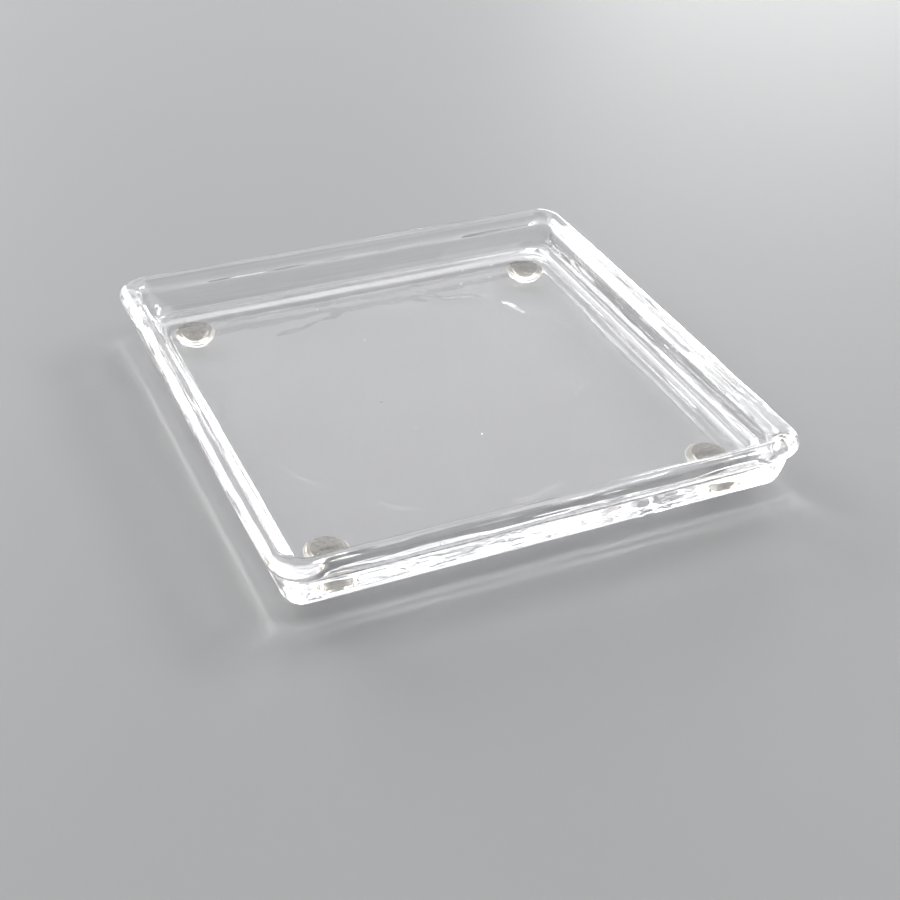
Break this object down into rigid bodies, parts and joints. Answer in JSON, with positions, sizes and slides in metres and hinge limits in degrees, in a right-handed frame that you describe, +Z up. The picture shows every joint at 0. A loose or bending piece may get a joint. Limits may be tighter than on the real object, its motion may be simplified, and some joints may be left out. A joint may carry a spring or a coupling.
{
  "type": "square glass dish",
  "caption": "Shallow square clear glass dish with a rounded lip and rounded corners, standing on small clear domed stick-on feet.",
  "frame": {"origin": "on the resting plane, midway between the feet, below the dish's centre", "axes": "+Z up, +X to the right along the front side, +Y to the back side"},
  "size_m": [0.125, 0.125, 0.0163],
  "materials": {
    "pressed_glass": "clear, colourless, fire-polished pressed glass with faint flow lines",
    "foot_elastomer": "clear soft polyurethane, glossy",
    "adhesive": "clear acrylic adhesive film"
  },
  "bodies": {
    "root": {"dish": "pressed_glass", "foot_front_left": "foot_elastomer", "foot_front_right": "foot_elastomer", "foot_back_left": "foot_elastomer", "foot_back_right": "foot_elastomer", "adhesive_front_left": "adhesive", "adhesive_front_right": "adhesive", "adhesive_back_left": "adhesive", "adhesive_back_right": "adhesive"}
  },
  "joints": []
}
